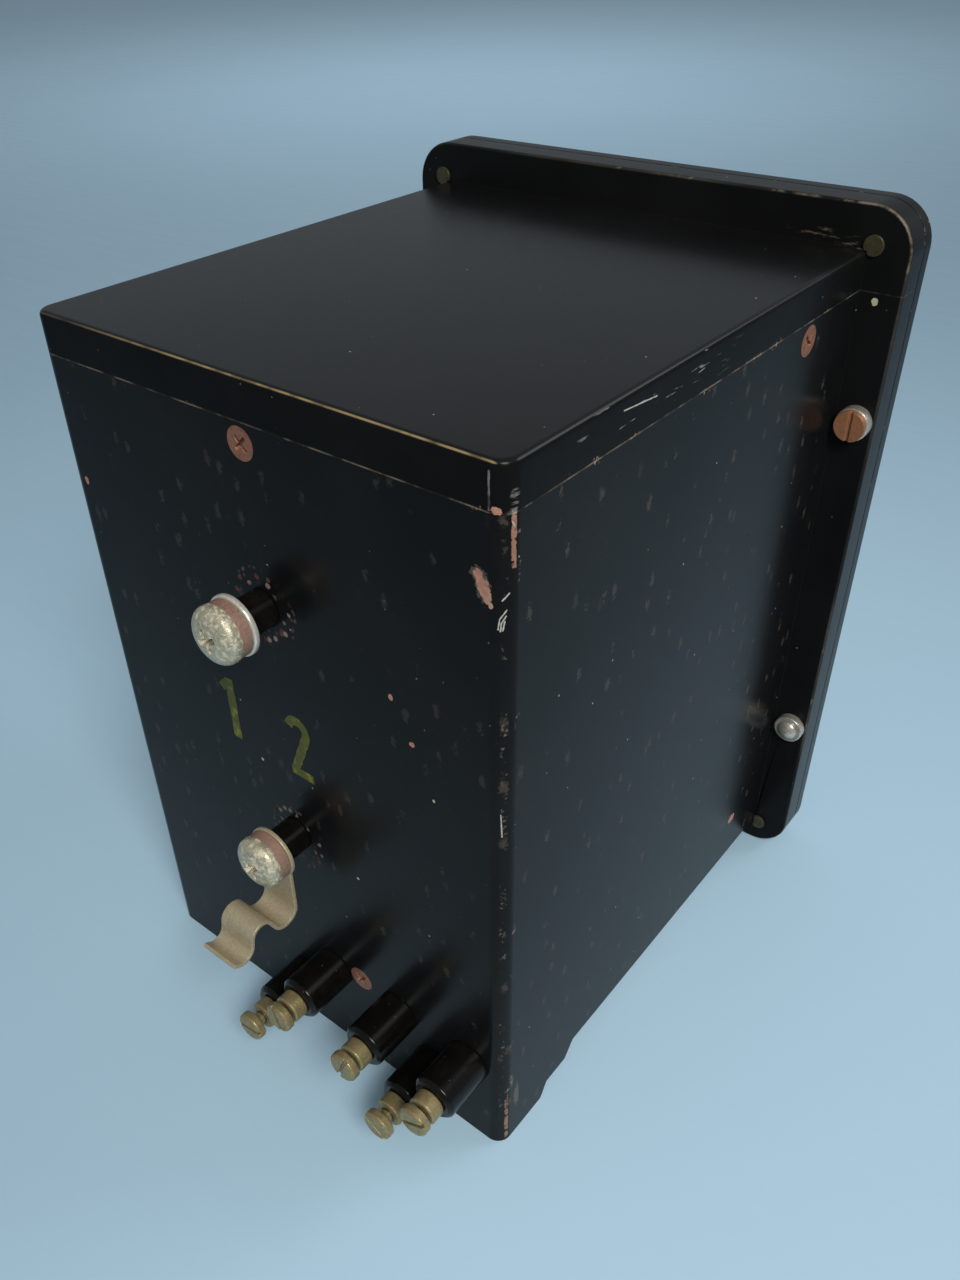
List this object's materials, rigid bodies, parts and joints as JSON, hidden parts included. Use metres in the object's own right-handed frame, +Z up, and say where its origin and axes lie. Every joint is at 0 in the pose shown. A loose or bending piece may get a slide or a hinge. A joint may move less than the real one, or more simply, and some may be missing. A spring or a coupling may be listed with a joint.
{
  "type": "breaker panel box",
  "caption": "Black sheet-steel flush-mounting breaker box with flanged hinged glass door, terminal wall, hand switch and trip relay inside",
  "frame": {"origin": "centre of the four panel studs, on the rear face of the flange (the face that meets the panel)", "axes": "+Y out of the terminal wall at the back, -Y out of the door at the front, +Z up, +X to the hinge side (left when seen from behind)"},
  "size_m": [0.1741, 0.224, 0.2322],
  "materials": {
    "case_enamel": "gloss, worn",
    "screw_copper": "worn",
    "plug_brass": "dull",
    "nickel": "dull nickel plate",
    "bushing_black": "gloss phenolic",
    "screw_zinc": "weathered zinc",
    "washer_bright": "bright zinc",
    "washer_brown": "tarnished",
    "clip_tin": "tinned, dull",
    "terminal_brass": "tarnished",
    "phenolic": "laminate",
    "copper": "contact copper",
    "steel": "plated",
    "flag_orange": "matt",
    "wire_red": "varnished",
    "glass": "clear",
    "gasket_felt": "felt",
    "button_red": "moulded",
    "plate": "blank"
  },
  "bodies": {
    "case": {"case_shell": "case_enamel", "top_cover": "case_enamel", "case_screws": "screw_copper", "corner_plugs": "plug_brass", "upper_collars": "nickel", "upper_studs": "screw_copper", "lower_collars": "nickel", "lower_studs": "nickel", "line_bushings": "bushing_black", "line_screws": "screw_zinc", "line_washer": "washer_bright", "lock_washers": "washer_brown", "spring_clip": "clip_tin", "control_bushings": "bushing_black", "control_studs": "terminal_brass", "control_nuts": "terminal_brass", "control_screws": "terminal_brass", "base_panel": "phenolic", "fixed_jaw": "copper", "hinge_jaw": "copper", "terminal_block": "copper", "block_screws": "washer_bright", "pivot_pin": "steel", "magnet_yoke": "steel", "magnet_core": "steel", "coil_former": "phenolic", "trip_coil": "copper", "bus_straps": "copper", "armature_pin": "steel", "armature_spring": "steel", "flag_pin": "steel", "flag_bracket": "terminal_brass", "aux_block": "phenolic", "aux_leaves": "terminal_brass", "control_links": "wire_red", "case_hinges": "case_enamel", "hinge_pins": "steel", "latch_keeper": "washer_bright"},
    "door": {"door_frame": "case_enamel", "door_glass": "glass", "glass_clips": "washer_bright", "clip_screws": "washer_bright", "door_gasket": "gasket_felt", "door_hinges": "case_enamel", "reset_ferrule": "plug_brass", "blank_plate": "plate", "plate_rivets": "plug_brass"},
    "latch": {"latch_knob": "bushing_black", "latch_cam": "washer_bright"},
    "reset": {"reset_button": "button_red", "reset_spring": "steel"},
    "switch": {"switch_blade": "copper", "handle_lever": "steel", "handle_grip": "bushing_black"},
    "armature_body": {"armature": "steel"},
    "flag": {"target_flag": "flag_orange"}
  },
  "joints": [
    {"name": "door_hinge", "type": "hinge", "parent": "case", "child": "door", "pos_m": [0.0872, -0.00955, 0], "axis": [0, 0, 1], "range_deg": [0, 110]},
    {"name": "latch_turn", "type": "hinge", "parent": "door", "child": "latch", "pos_m": [-0.07, -0.0152, 0], "axis": [0, -1, 0], "range_deg": [0, 90]},
    {"name": "reset_press", "type": "slide", "parent": "door", "child": "reset", "axis": [0, 1, 0], "range_m": [0, 0.004], "stiffness_N_per_m": 300, "springref_m": -0.004},
    {"name": "switch_swing", "type": "hinge", "parent": "case", "child": "switch", "pos_m": [0, 0.112, 0.004], "axis": [1, 0, 0], "range_deg": [0, 35]},
    {"name": "armature_pull", "type": "hinge", "parent": "case", "child": "armature_body", "pos_m": [0, 0.1245, -0.0375], "axis": [1, 0, 0], "range_deg": [0, 6.9], "stiffness_Nm_per_rad": 0.05, "springref_deg": -17.19},
    {"name": "flag_swing", "type": "hinge", "parent": "case", "child": "flag", "pos_m": [0, 0.066, -0.044], "axis": [1, 0, 0], "range_deg": [-28, 0]}
  ],
  "couplings": [
    {"joint": "flag_swing", "follows": "armature_pull", "ratio": -4}
  ]
}
